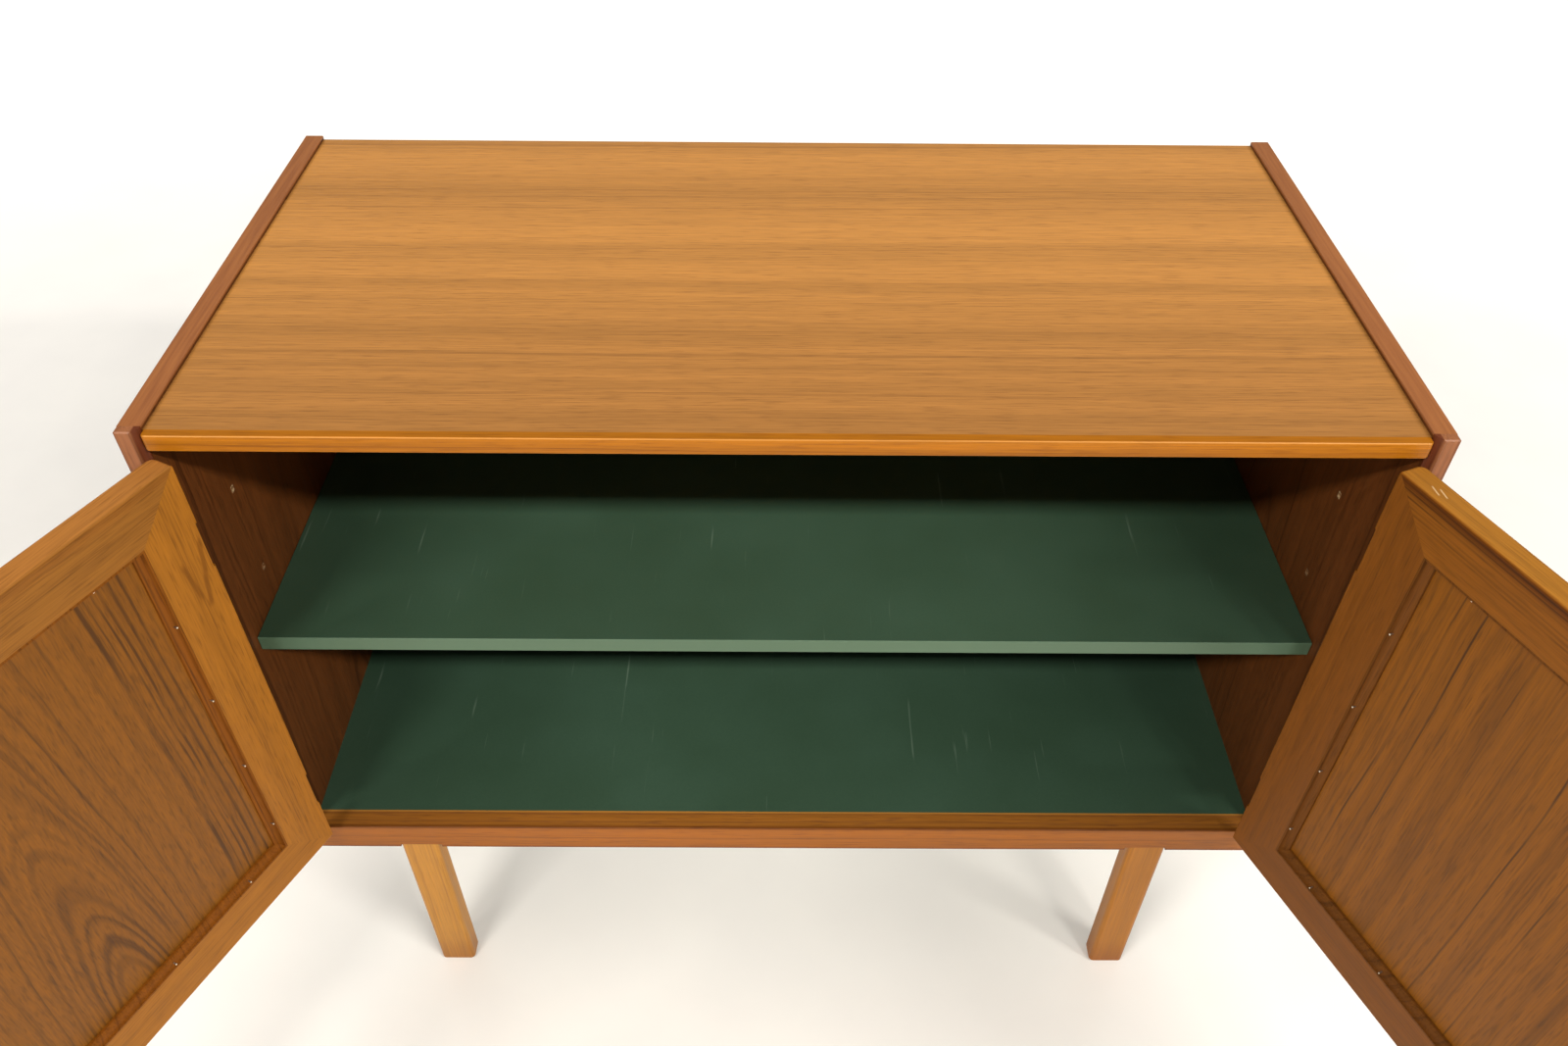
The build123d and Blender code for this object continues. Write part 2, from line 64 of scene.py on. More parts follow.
# ---- small makers --------------------------------------------------------------------------
def linear(hex_colour, gain=1.0):
    """sRGB hex to the linear colour that Blender mixes, made lighter or darker by a gain."""
    shares = [int(hex_colour[i:i + 2], 16) / 255 for i in (1, 3, 5)]
    lit = [s / 12.92 if s <= 0.04045 else ((s + 0.055) / 1.055) ** 2.4 for s in shares]
    return tuple(min(1.0, s * gain) for s in lit) + (1.0,)


def add(tree, kind, settings=None, inputs=None, stops=None):
    """Adds a node with its settings; an input is a number, a colour or another node's output."""
    made = tree.nodes.new(kind)
    for name, value in (settings or {}).items():
        setattr(made, name, value)
    for name, value in (inputs or {}).items():
        if isinstance(value, bpy.types.NodeSocket):
            tree.links.new(value, made.inputs[name])
        else:
            made.inputs[name].default_value = value
    if stops:
        ramp = made.color_ramp
        while len(ramp.elements) < len(stops):
            ramp.elements.new(1.0)
        for element, (place, colour) in zip(ramp.elements, stops):
            element.position = place
            element.color = colour
    return made.outputs


SOFT = {"interpolation_type": "SMOOTHSTEP"}
TIMES = {"operation": "MULTIPLY"}


def new_material(name, **shader_values):
    """A material whose shader sockets are set once; returns it with its tree and shader."""
    material = bpy.data.materials.new(name)
    material.use_nodes = True
    shader = material.node_tree.nodes["Principled BSDF"]
    for socket, value in shader_values.items():
        shader.inputs[socket.replace("_", " ")].default_value = value
    return material, material.node_tree, shader


def dress(material, *nodes):
    """Gives CAD nodes a material on every slot."""
    for name in nodes:
        for slot in frame["nodes"][name].material_slots:
            slot.material = material


def beyond(tree, place, direction, start, end):
    """0 before start and 1 past end, measured along a direction."""
    along = add(tree, "ShaderNodeVectorMath", {"operation": "DOT_PRODUCT"}, {0: place, 1: direction})["Value"]
    return add(tree, "ShaderNodeMapRange", SOFT,
               {"Value": along, "From Min": start, "From Max": end})["Result"]


def drawn_out(tree, place, sizes, shift=(0.0, 0.0, 0.0), detail=2.0):
    """Cloudy noise whose patches measure so many millimetres along X, Y and Z."""
    per_metre = tuple(1 / (size * MM) for size in sizes)
    stretched = add(tree, "ShaderNodeMapping", None,
                    {"Vector": place, "Scale": per_metre, "Location": shift})["Vector"]
    return add(tree, "ShaderNodeTexNoise", None, {"Vector": stretched, "Scale": 1.0, "Detail": detail})["Fac"]


def stained(tree, colour, masks, stain, share=1.0, blend="MULTIPLY"):
    """A colour with a share of a stain laid over it wherever every mask is 1."""
    amount = masks[0]
    for mask in masks[1:] + ([share] if share < 1.0 else []):
        amount = add(tree, "ShaderNodeMath", TIMES, {0: amount, 1: mask})["Value"]
    return add(tree, "ShaderNodeMix", {"data_type": "RGBA", "blend_type": blend},
               {"Factor": amount, 6: colour, 7: stain})[2]


def relief(tree, shader, height, strength, depth):
    """Bumps of a real depth in metres."""
    bump = add(tree, "ShaderNodeBump", None, {"Height": height, "Strength": strength, "Distance": depth})
    tree.links.new(bump["Normal"], shader.inputs["Normal"])


# ---- wood ----------------------------------------------------------------------------------
def log_frame(box, along, face, aside, depth, lean=0.0):
    """Where a piece was cut from its log: the turn of the fibres and a point on the pith.

    aside is across the face and depth is behind it, from the middle of the piece's box;
    lean tips the fibres towards the face, which draws arches on it.
    """
    along, face = Vector(along).normalized(), Vector(face).normalized()
    fibre = (along * math.cos(lean) + face * math.sin(lean)).normalized()
    across = face.cross(fibre).normalized()
    turn = Matrix((fibre, across, fibre.cross(across))).transposed().to_euler()
    return turn, (box[0] + box[1]) / 2 + across * aside - face * depth


def wood(name, cut, base, streak, ring=14.0, gap=4.0, wander=6.0, contrast=0.08, line_share=0.35,
         pore_share=0.35, roughness=0.42, specular=0.25, seed=0.0, dark_rings=(), marks=None):
    """Growth rings about a pith line, so that every cut face shows the figure it would have.

    In millimetres: ring is the width of the broad tone bands, gap the spacing of the growth lines,
    wander how far both stray, and dark_rings are (distance from the pith, width, share) of single
    strong lines. Oil leaves the surface satin, a little uneven from fibre to fibre.
    """
    turn, pith = cut
    material, tree, shader = new_material(name, Roughness=roughness, IOR=1.45, Specular_IOR_Level=specular)
    place = add(tree, "ShaderNodeTexCoord")["Object"]
    local = add(tree, "ShaderNodeMapping", {"vector_type": "TEXTURE"},
                {"Vector": place, "Location": tuple(pith), "Rotation": turn})["Vector"]
    flat = add(tree, "ShaderNodeVectorMath", TIMES, {0: local, 1: (0, 1, 1)})["Vector"]
    radius = add(tree, "ShaderNodeVectorMath", {"operation": "LENGTH"}, {0: flat})["Value"]
    # slow bends of the trunk, then small waves of the fibre
    bend = drawn_out(tree, local, (454.55, 166.67, 166.67), (seed, 0.0, 0.0))
    wave = drawn_out(tree, local, (100, 20, 20), (0.0, seed, 0.0))
    for noise, reach in ((bend, 4 * wander * MM), (wave, 0.4 * wander * MM)):
        centred = add(tree, "ShaderNodeMath", {"operation": "SUBTRACT"}, {0: noise, 1: 0.5})["Value"]
        radius = add(tree, "ShaderNodeMath", {"operation": "MULTIPLY_ADD"},
                     {0: centred, 1: reach, 2: radius})["Value"]

    def along_radius(width, offset):
        """Noise that changes only from ring to ring, about once every width."""
        turns = add(tree, "ShaderNodeMath", {"operation": "MULTIPLY_ADD"},
                    {0: radius, 1: 1 / (width * MM), 2: seed + offset})["Value"]
        return add(tree, "ShaderNodeTexNoise", {"noise_dimensions": "1D"},
                   {"W": turns, "Scale": 1.0, "Detail": 3.0, "Roughness": 0.6})["Fac"]

    bands, lines = along_radius(ring, 0.0), along_radius(gap, 31.0)
    toned = add(tree, "ShaderNodeMapRange", SOFT,
                {"Value": bands, "From Min": 0.30, "From Max": 0.70})["Result"]
    colour = add(tree, "ShaderNodeValToRGB", None, {"Fac": toned},
                 stops=[(0.0, linear(base, 1 + contrast)), (0.5, linear(base)),
                        (1.0, linear(base, 1 - contrast))])["Color"]
    # growth lines, stronger in the darker bands
    line = add(tree, "ShaderNodeMapRange", SOFT,
               {"Value": lines, "From Min": 0.53, "From Max": 0.66})["Result"]
    crowd = add(tree, "ShaderNodeMapRange", SOFT,
                {"Value": bands, "From Min": 0.40, "From Max": 0.60, "To Min": 0.25})["Result"]
    # open pores: dark dashes a millimetre and a half wide and 25 mm long, coarser than the real ones
    pore = drawn_out(tree, local, (25, 1.6129, 1.6129))
    pore = add(tree, "ShaderNodeMapRange", SOFT,
               {"Value": pore, "From Min": 0.50, "From Max": 0.72})["Result"]
    colour = stained(tree, colour, [line, crowd], linear(streak), line_share, "MIX")
    colour = stained(tree, colour, [pore], linear(streak), pore_share, "MIX")
    for distance, width, share in dark_rings:
        off = add(tree, "ShaderNodeMath", {"operation": "SUBTRACT"}, {0: radius, 1: distance * MM})["Value"]
        off = add(tree, "ShaderNodeMath", {"operation": "ABSOLUTE"}, {0: off})["Value"]
        near = add(tree, "ShaderNodeMapRange", SOFT,
                   {"Value": off, "From Min": 0.2 * width * MM, "From Max": 0.65 * width * MM,
                    "To Min": share, "To Max": 0.0})["Result"]
        # the line fades and returns along its length
        swell = add(tree, "ShaderNodeMapRange", SOFT,
                    {"Value": wave, "From Min": 0.36, "From Max": 0.60,
                     "To Min": 1.15, "To Max": 0.45})["Result"]
        colour = stained(tree, colour, [near, swell], linear(streak), blend="MIX")
    # fibres about a third of a millimetre wide, drawn three times as coarse so that they show
    fibre = drawn_out(tree, local, (71.43, 1.1111, 1.1111))
    shade = add(tree, "ShaderNodeMapRange", None,
                {"Value": fibre, "From Min": 0.3, "From Max": 0.7, "To Min": 0.86, "To Max": 1.13})["Result"]
    colour = add(tree, "ShaderNodeVectorMath", {"operation": "SCALE"}, {0: colour, "Scale": shade})["Vector"]
    if marks:
        colour = marks(tree, place, colour)
    tree.links.new(colour, shader.inputs["Base Color"])
    height = add(tree, "ShaderNodeMath", {"operation": "MULTIPLY_ADD"}, {0: pore, 1: -1.0, 2: fibre})["Value"]
    relief(tree, shader, height, 0.15, 0.15 * MM)
    satin = add(tree, "ShaderNodeMapRange", SOFT,
                {"Value": fibre, "From Min": 0.3, "From Max": 0.7,
                 "To Min": roughness - 0.05, "To Max": roughness + 0.07})["Result"]
    tree.links.new(satin, shader.inputs["Roughness"])
    return material


def stroke(tree, place, start, end, width):
    """1 on a short line from start to end in the cabinet's frame, fading to 0 beside it and past its ends."""
    start, end = Vector(start), Vector(end)
    middle, way, half = (start + end) / 2, (end - start).normalized(), (end - start).length / 2
    out = add(tree, "ShaderNodeVectorMath", {"operation": "SUBTRACT"}, {0: place, 1: middle})["Vector"]
    along = add(tree, "ShaderNodeVectorMath", {"operation": "DOT_PRODUCT"}, {0: out, 1: way})["Value"]
    along = add(tree, "ShaderNodeMath", {"operation": "ABSOLUTE"}, {0: along})["Value"]
    aside = add(tree, "ShaderNodeVectorMath", {"operation": "CROSS_PRODUCT"}, {0: out, 1: way})["Vector"]
    aside = add(tree, "ShaderNodeVectorMath", {"operation": "LENGTH"}, {0: aside})["Value"]
    inside = [add(tree, "ShaderNodeMapRange", SOFT, {"Value": distance, "From Min": full, "From Max": gone,
                                                     "To Min": 1.0, "To Max": 0.0})["Result"]
              for distance, full, gone in ((aside, 0.2 * width, 0.6 * width), (along, 0.6 * half, half))]
    return add(tree, "ShaderNodeMath", TIMES, {0: inside[0], 1: inside[1]})["Value"]


def on_door(side, across, deep, high):
    """A point given on the closed door in millimetres, carried to where the open door has it."""
    closed = Vector((OUTWARD_SIGN[side] * across, deep, high)) * MM
    return door_swing[side] @ (closed - hinge_pin[side]) + hinge_pin[side]


# ---- top ---------------------------------------------------------------------------------------
top_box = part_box("top_panel")
top_strip_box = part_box("top_front_lipping")


def painted_shade_front(tree, place, colour):
    """The front of the top is painted darker: painted shade, where less light falls on it than on the back.
    """
    front = beyond(tree, place, -BACKWARD, -0.05, 0.22)
    # painted shade: the front of the top is darkened
    return stained(tree, colour, [front], (0.78, 0.76, 0.78, 1))


def painted_highlight_corner(tree, place, colour):
    """The strip's upper corner is painted pale, a painted highlight along its arris."""
    corner = [beyond(tree, place, UP, top_strip_box[1].z - 1.2 * MM, top_strip_box[1].z - 0.5 * MM),
              beyond(tree, place, -BACKWARD, -top_strip_box[0].y - 1.2 * MM, -top_strip_box[0].y - 0.5 * MM)]
    # painted highlight on the strip's upper corner
    return stained(tree, colour, corner, linear("#D89A50"), 0.5, "MIX")


# quarter-sawn veneer, oiled and bleached by the sun: straight grain from side to side, glossier than the
# rest; the strip on its front edge is solid teak, redder, with fine close lines
dress(wood("oiled_teak_veneer_top", log_frame(top_box, RIGHT, UP, 0.85, 0.12), "#B87E3C", "#6B411D",
           ring=62.0, gap=5.0, wander=5.0, contrast=0.10, line_share=0.22, pore_share=0.30, roughness=0.40,
           specular=0.45, seed=3.7, marks=painted_shade_front), "top_panel")
dress(wood("solid_teak_top_edge", log_frame(top_strip_box, RIGHT, -BACKWARD, 0.2, 0.3), "#A1600B", "#6F3A08",
           ring=9.0, gap=2.5, wander=2.0, contrast=0.10, line_share=0.5, seed=5.2, marks=painted_highlight_corner),
      "top_front_lipping")


# ---- side panels, grain upright -----------------------------------------------------------------
PIN_HOLES_DOWN = ((135 * MM, 0.9), (230 * MM, 0.3))    # empty shelf-pin holes: how far down, how chipped
PIN_ROW = 155 * MM                                     # in front of and behind the middle


def side_marks(sign, panel_box):
    """Inside the cabinet the veneer is painted a deep brown, partly browner wood and partly painted shade of
    the cabinet's inside, and pale where pins have chipped their holes.
    """
    wall = min(abs(panel_box[0].x), abs(panel_box[1].x))
    top = panel_box[1].z

    def marks(tree, place, colour):
        inside = beyond(tree, place, RIGHT * -sign, -wall - 3 * MM, -wall - 1 * MM)
        # painted shade: the inner faces are darkened far below the outer veneer
        colour = stained(tree, colour, [inside], (0.40, 0.30, 0.26, 1))
        for y in (-PIN_ROW, PIN_ROW):
            for down, share in PIN_HOLES_DOWN:
                hole = Vector((sign * wall, y, top - down))
                chip = stroke(tree, place, hole - UP * 4 * MM, hole + UP * 4 * MM, 5.5 * MM)
                colour = stained(tree, colour, [inside, chip], linear("#C9AC82"), share, "MIX")
        # the top edge is covered by a strip of veneer whose grain runs from front to back
        edge = beyond(tree, place, UP, top - 2.0 * MM, top - 1.2 * MM)
        grain = drawn_out(tree, place, (2.2222, 71.43, 2.2222), detail=3.0)
        strip = add(tree, "ShaderNodeValToRGB", None, {"Fac": grain},
                    stops=[(0.3, linear("#9C6236")), (0.7, linear("#88522E"))])["Color"]
        return stained(tree, colour, [edge], strip, blend="MIX")
    return marks


def painted_shade_inner_corner(sign, edge_box):
    """The inner corner of the front edge is painted dark, a painted shade along that corner."""
    inner = min(abs(edge_box[0].x), abs(edge_box[1].x))

    def marks(tree, place, colour):
        near = beyond(tree, place, RIGHT * -sign, -inner - 5.5 * MM, -inner - 4 * MM)
        # painted shade along the inner corner of the front edge
        return stained(tree, colour, [near], (0.48, 0.30, 0.22, 1))
    return marks


# crown-cut veneer with arches on the outer face, and on its front edge a strip of redder solid teak
for side, seed in (("left", 11.0), ("right", 17.0)):
    sign = OUTWARD_SIGN[side]
    panel_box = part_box(f"{side}_side_panel")
    cut = log_frame(panel_box, UP, RIGHT * sign, 0.05 * sign, 0.07, -0.06)
    dress(wood(f"oiled_teak_veneer_{side}_side", cut, "#95612F", "#4C2912", ring=18.0, gap=6.0, wander=8.0,
               contrast=0.12, line_share=0.5, seed=seed, marks=side_marks(sign, panel_box)),
          f"{side}_side_panel")
    edge_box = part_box(f"{side}_side_lipping")
    cut = log_frame(edge_box, UP, -BACKWARD, 0.3, 0.1)
    dress(wood(f"solid_teak_{side}_front_edge", cut, "#8F5A38", "#5A2C1A", ring=8.0, gap=3.0, wander=2.0,
               seed=seed + 2, marks=painted_shade_inner_corner(sign, edge_box)), f"{side}_side_lipping")


# ---- rails under the bottom panel -----------------------------------------------------------------
rail_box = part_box("bottom_front_rail")


def rail_shade_and_wear(tree, place, colour):
    """The rail's upper face is painted browner than its front, a painted shade, and is palest along the
    painted panel's edge; a painted shadow line runs along the front of its upper face and painted shade along
    its lower edge.
    """
    top_face = beyond(tree, place, UP, rail_box[1].z - 1.5 * MM, rail_box[1].z - 0.6 * MM)
    # painted shade on the upper face
    colour = stained(tree, colour, [top_face], (0.84, 1.0, 2.0, 1))
    rubbed = beyond(tree, place, BACKWARD, rail_box[1].y - 2.5 * MM, rail_box[1].y - 1.5 * MM)
    colour = stained(tree, colour, [top_face, rubbed], linear("#B07A34"), 0.55, "MIX")
    # painted shadow line along the front of the upper face
    front = beyond(tree, place, -BACKWARD, -rail_box[0].y - 5 * MM, -rail_box[0].y - 2 * MM)
    colour = stained(tree, colour, [top_face, front], (0.62, 0.52, 0.5, 1))
    # painted shade along the lower edge
    lower = beyond(tree, place, -UP, -rail_box[0].z - 4 * MM, -rail_box[0].z - 1 * MM)
    return stained(tree, colour, [lower], (0.55, 0.42, 0.4, 1))


# solid teak, reddish in front where the top shades it from the sun
dress(wood("solid_teak_front_rail", log_frame(rail_box, RIGHT, -BACKWARD, 0.2, 0.3), "#985713", "#5C2F16",
           ring=9.0, gap=3.0, wander=2.0, seed=23.0, marks=rail_shade_and_wear), "bottom_front_rail")
dress(wood("solid_teak_back_rail", log_frame(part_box("bottom_back_rail"), RIGHT, BACKWARD, 0.2, 0.3),
           "#93602F", "#55301A", ring=9.0, gap=3.0, wander=2.0, seed=29.0), "bottom_back_rail")


# ---- legs: paler solid wood, each out of its own plank ---------------------------------------------
def darker_foot(tree, place, colour):
    """The last six centimetres are darker."""
    foot = beyond(tree, place, -UP, -60 * MM, -4 * MM)
    return stained(tree, colour, [foot], (0.78, 0.68, 0.60, 1))


# the lacquer makes them a little glossier than the oiled wood
for i, leg in enumerate(("front_left_leg", "front_right_leg", "back_left_leg", "back_right_leg")):
    is_right = i % 2
    cut = log_frame(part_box(leg), UP, -BACKWARD, 0.10 - 0.2 * is_right, 0.12)
    dress(wood(f"lacquered_pale_hardwood_{leg}", cut, ("#BA8030", "#A86A1E")[is_right], "#8A5526", ring=12.0,
               gap=3.5, wander=3.0, contrast=0.06, line_share=0.3, pore_share=0.22, roughness=0.38,
               seed=37.0 + i, marks=darker_foot), leg)


# ---- doors -------------------------------------------------------------------------------------
# the left door has seen more sun than the right one
FRAME_TONE = {"left": "#A1651B", "right": "#7A460F"}
TOP_RAIL_TONE = {"left": "#945F22", "right": "#885012"}
BEAD_TONE = {"left": "#80480F", "right": "#6A3E13"}
PANEL_LOOK = {
    # the left panel was cut close to the heart: tall arches, and dark rings crowded at the hinge side
    "left": dict(aside=-22, depth=46, lean=-0.075, base="#84500F", contrast=0.06, line_share=0.36,
                 dark_rings=((34, 1.5, 0.35), (37, 2, 0.5), (40.5, 1.5, 0.35), (44, 2.2, 0.5), (48, 1.5, 0.3),
                             (51, 1.5, 0.3), (55, 2.5, 0.5), (61, 1.5, 0.3), (69, 2, 0.35), (80, 1.5, 0.25),
                             (97, 2.5, 0.3), (112, 1.5, 0.25), (127, 4, 0.65), (133, 1.5, 0.5), (139, 2, 0.6),
                             (144, 2.5, 0.6), (151, 2, 0.6), (159, 2.5, 0.55), (167, 1.5, 0.4))),
    # the right panel was cut far from the heart: straight soft grain and a few thin wavy lines
    "right": dict(aside=-500, depth=100, lean=0.0, base="#864F0A", contrast=0.08, line_share=0.24,
                  dark_rings=((663, 1.8, 0.6), (641, 1.8, 0.7), (540, 1.6, 0.65), (500, 1.6, 0.65),
                              (574, 14, 0.2), (604, 18, 0.2), (450, 12, 0.25), (420, 1.6, 0.5),
                              (380, 14, 0.25))),
}
# thin dark lines of the right door's top rail, close below its upper edge
TOP_RAIL_LINES = ((148, 2, 0.7), (152, 1.8, 0.8), (157, 1.8, 0.75), (163, 1.6, 0.6), (170, 1.6, 0.45))

# on each top rail: the dark line's stain, and the painted light that makes the top face paler
HANDLED_AND_LIT = {"left": ((0.85, 0.8, 0.75, 1), (1.15, 1.15, 1.6, 1)),
           "right": ((0.50, 0.42, 0.36, 1), (1.3, 1.6, 2.6, 1))}
# three scratches on the right door's top face, as (across, deep) of their starts in millimetres
RAIL_SCRATCHES = ((458, -224), (457, -232), (452, -235))
# a curl of grain on the left hinge stile, as (across, deep, high) of each stroke's ends in millimetres
CURL = (((474, -223, 700), (468, -223, 660)), ((468, -223, 668), (462, -223, 630)),
        ((452, -223, 690), (458, -223, 640)))


def handled_and_lit_top(side):
    """Hands have left a dark line below the top rail's inner corner, and its top face is painted paler and
    bluer, a painted light on the upward face.
    """
    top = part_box(f"{side}_door_top_rail")[1].z
    stile = frame["nodes"][f"{side}_door_hinge_stile"].data.vertices
    face_at = max(corner.co.dot(inner_way[side]) for corner in stile)
    dark, paler = HANDLED_AND_LIT[side]

    def marks(tree, place, colour):
        height = add(tree, "ShaderNodeSeparateXYZ", None, {0: place})["Z"]
        inner_face = beyond(tree, place, inner_way[side], face_at - 1.2 * MM, face_at - 0.5 * MM)
        rising = add(tree, "ShaderNodeMapRange", SOFT,
                     {"Value": height, "From Min": top - 15 * MM, "From Max": top - 4 * MM})["Result"]
        ending = add(tree, "ShaderNodeMapRange", SOFT,
                     {"Value": height, "From Min": top - 2.5 * MM, "From Max": top - 1 * MM,
                      "To Min": 1.0, "To Max": 0.0})["Result"]
        colour = stained(tree, colour, [inner_face, rising, ending], dark)
        # painted light on the top face
        colour = stained(tree, colour, [beyond(tree, place, UP, top - 1.2 * MM, top - 0.4 * MM)], paler)
        for across, deep in RAIL_SCRATCHES if side == "right" else ():
            scratch = stroke(tree, place, on_door(side, across, deep, top / MM),
                             on_door(side, across - 12, deep + 3.5, top / MM), 1.5 * MM)
            colour = stained(tree, colour, [scratch], linear("#D0AE80"), 0.7, "MIX")
        return colour
    return marks


def curl_by_gain(tree, place, colour):
    """A dark curl of grain beside the upper hinge gain."""
    for start, end in CURL:
        curl = stroke(tree, place, on_door("left", *start), on_door("left", *end), 5 * MM)
        colour = stained(tree, colour, [curl], linear("#5E3208"), 0.5, "MIX")
    return colour


for side, swing in door_swing.items():
    sign = -OUTWARD_SIGN[side]
    across, face = swing @ RIGHT, inner_way[side]
    door = f"{side}_door"
    # oiled solid teak, cut well away from the heart, so that its lines run nearly straight
    for member, along, aside, depth, seed in (("hinge_stile", UP, 0.35, 0.10, 1.0),
                                              ("meeting_stile", UP, 0.25, 0.1, 2.0),
                                              ("top_rail", across, 0.16, 0.05, 3.0),
                                              ("bottom_rail", across, 0.2, 0.08, 4.0)):
        is_top = member == "top_rail"
        lines = TOP_RAIL_LINES if is_top and side == "right" else ()
        marks = handled_and_lit_top(side) if is_top else None
        if side == "left" and member == "hinge_stile":
            marks = curl_by_gain
        cut = log_frame(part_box(f"{door}_{member}"), along, face, aside * sign, depth, 0.02)
        tone = (TOP_RAIL_TONE if is_top else FRAME_TONE)[side]
        dress(wood(f"oiled_teak_{door}_{member}", cut, tone, "#55300C", gap=3.5, wander=2.5 if lines else 4.0,
                   contrast=0.05, line_share=0.35 if is_top else 0.2, specular=0.18, seed=seed * 7 + sign,
                   dark_rings=lines, marks=marks), f"{door}_{member}")
    # sliced veneer of dark, strongly figured teak, duller than the frame
    look = PANEL_LOOK[side]
    cut = log_frame(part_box(f"{door}_panel"), UP, face, look["aside"] * MM, look["depth"] * MM, look["lean"])
    dress(wood(f"figured_teak_veneer_{door}_panel", cut, look["base"], "#38200A", ring=16.0, gap=3.2,
               contrast=look["contrast"], line_share=look["line_share"], pore_share=0.34, roughness=0.45,
               seed=41.0 + sign, dark_rings=look["dark_rings"]), f"{door}_panel")
    # the beads are duller still, and a darker red-brown all through
    cut = log_frame(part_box(f"{door}_beads"), UP, face, 0.3, 0.2)
    dress(wood(f"oiled_teak_{door}_beads", cut, BEAD_TONE[side], "#331A08", ring=6.0, wander=2.0,
               roughness=0.6, specular=0.12, seed=47.0), f"{door}_beads")
    cut = log_frame(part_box(f"{door}_knob"), UP, face, 0.1, 0.1)
    dress(wood(f"turned_teak_{door}_knob", cut, "#93602A", "#55301A", ring=6.0, wander=1.0, seed=53.0),
          f"{door}_knob")

# planed beech, pale and close-grained, hidden in the joints
dress(wood("planed_beech", log_frame(top_box, RIGHT, UP, 0.2, 0.3), "#C9A070", "#9A7040"), "carcass_dowels",
      "left_door_mitre_tongues", "right_door_mitre_tongues")


# ---- green paint -----------------------------------------------------------------------------------
KNOCK_SPACING = 62.5 * MM


def green_paint(name, marks=None):
    """Satin alkyd paint, brushed on: dark bottle green, very fine orange peel, old knocks and scratches."""
    material, tree, shader = new_material(name, Roughness=0.5, IOR=1.45)
    place = add(tree, "ShaderNodeTexCoord")["Object"]
    cloud = add(tree, "ShaderNodeTexNoise", None,
                {"Vector": place, "Scale": 1 / (111.11 * MM), "Detail": 6.0})
    colour = add(tree, "ShaderNodeValToRGB", None, {"Fac": cloud["Fac"]},
                 stops=[(0.3, linear("#2D4432")), (0.7, linear("#334B3A"))])["Color"]
    # dust nibs of two millimetres
    nibs = add(tree, "ShaderNodeTexNoise", None,
               {"Vector": place, "Scale": 1 / (2 * MM), "Detail": 2.0})["Fac"]
    nibs = add(tree, "ShaderNodeMapRange", SOFT,
               {"Value": nibs, "From Min": 0.35, "From Max": 0.65, "To Max": 0.25})["Result"]
    colour = stained(tree, colour, [nibs], (1.35, 1.25, 1.2, 1))
    # faint scratches where things were pushed in and drawn out
    scratches = drawn_out(tree, place, (4.1667, 111.11, 111.11))
    scratches = add(tree, "ShaderNodeMapRange", SOFT,
                    {"Value": scratches, "From Min": 0.70, "From Max": 0.80, "To Max": 0.30})["Result"]
    colour = stained(tree, colour, [scratches], linear("#7E907E"), blend="MIX")
    # sparse knocks: small ones down to the filler, larger ones to the dark undercoat
    cells = add(tree, "ShaderNodeTexVoronoi", None, {"Vector": place, "Scale": 1 / KNOCK_SPACING})
    for size, tone, choice in ((1.2 * MM, "#A8B0A0", "X"), (2.0 * MM, "#131C14", "Y")):
        reach = size / KNOCK_SPACING
        spot = add(tree, "ShaderNodeMapRange", SOFT,
                   {"Value": cells["Distance"], "From Min": 0.6 * reach, "From Max": reach,
                    "To Min": 1.0, "To Max": 0.0})["Result"]
        drawn = add(tree, "ShaderNodeSeparateXYZ", None, {0: cells["Color"]})[choice]
        chosen = add(tree, "ShaderNodeMapRange", SOFT, {"Value": drawn, "From Min": 0.88, "From Max": 0.90})
        colour = stained(tree, colour, [spot, chosen["Result"]], linear(tone), 0.8, "MIX")
    if marks:
        colour = marks(tree, place, colour)
    tree.links.new(colour, shader.inputs["Base Color"])
    peel = add(tree, "ShaderNodeTexNoise", None, {"Vector": place, "Scale": 1 / (1.1111 * MM), "Detail": 2.0})
    relief(tree, shader, peel["Fac"], 0.15, 0.1 * MM)
    return material


shelf_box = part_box("shelf")
back_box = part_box("back_panel")


def painted_light_front_edge(tree, place, colour):
    """The shelf's front edge is painted a paler green, a painted light on the face that the lamps strike."""
    edge = beyond(tree, place, -BACKWARD, -shelf_box[0].y - 0.8 * MM, -shelf_box[0].y - 0.3 * MM)
    # painted light on the shelf's front edge
    return stained(tree, colour, [edge], linear("#506850"), blend="MIX")


def bare_outside(tree, place, colour):
    """Only the inside of the hardboard is painted; outside it shows its pressed fibres."""
    outside = beyond(tree, place, BACKWARD, back_box[1].y - 2 * MM, back_box[1].y - 1.5 * MM)
    speck = add(tree, "ShaderNodeTexNoise", None, {"Vector": place, "Scale": 1 / (3.846 * MM), "Detail": 4.0})
    board = add(tree, "ShaderNodeValToRGB", None, {"Fac": speck["Fac"]},
                stops=[(0.35, linear("#8A6238")), (0.65, linear("#6B4725"))])["Color"]
    return stained(tree, colour, [outside], board, blend="MIX")


dress(green_paint("green_alkyd_paint_shelf", painted_light_front_edge), "shelf")
dress(green_paint("green_alkyd_paint_bottom"), "bottom_panel")
dress(green_paint("hardboard_painted_inside", bare_outside), "back_panel")


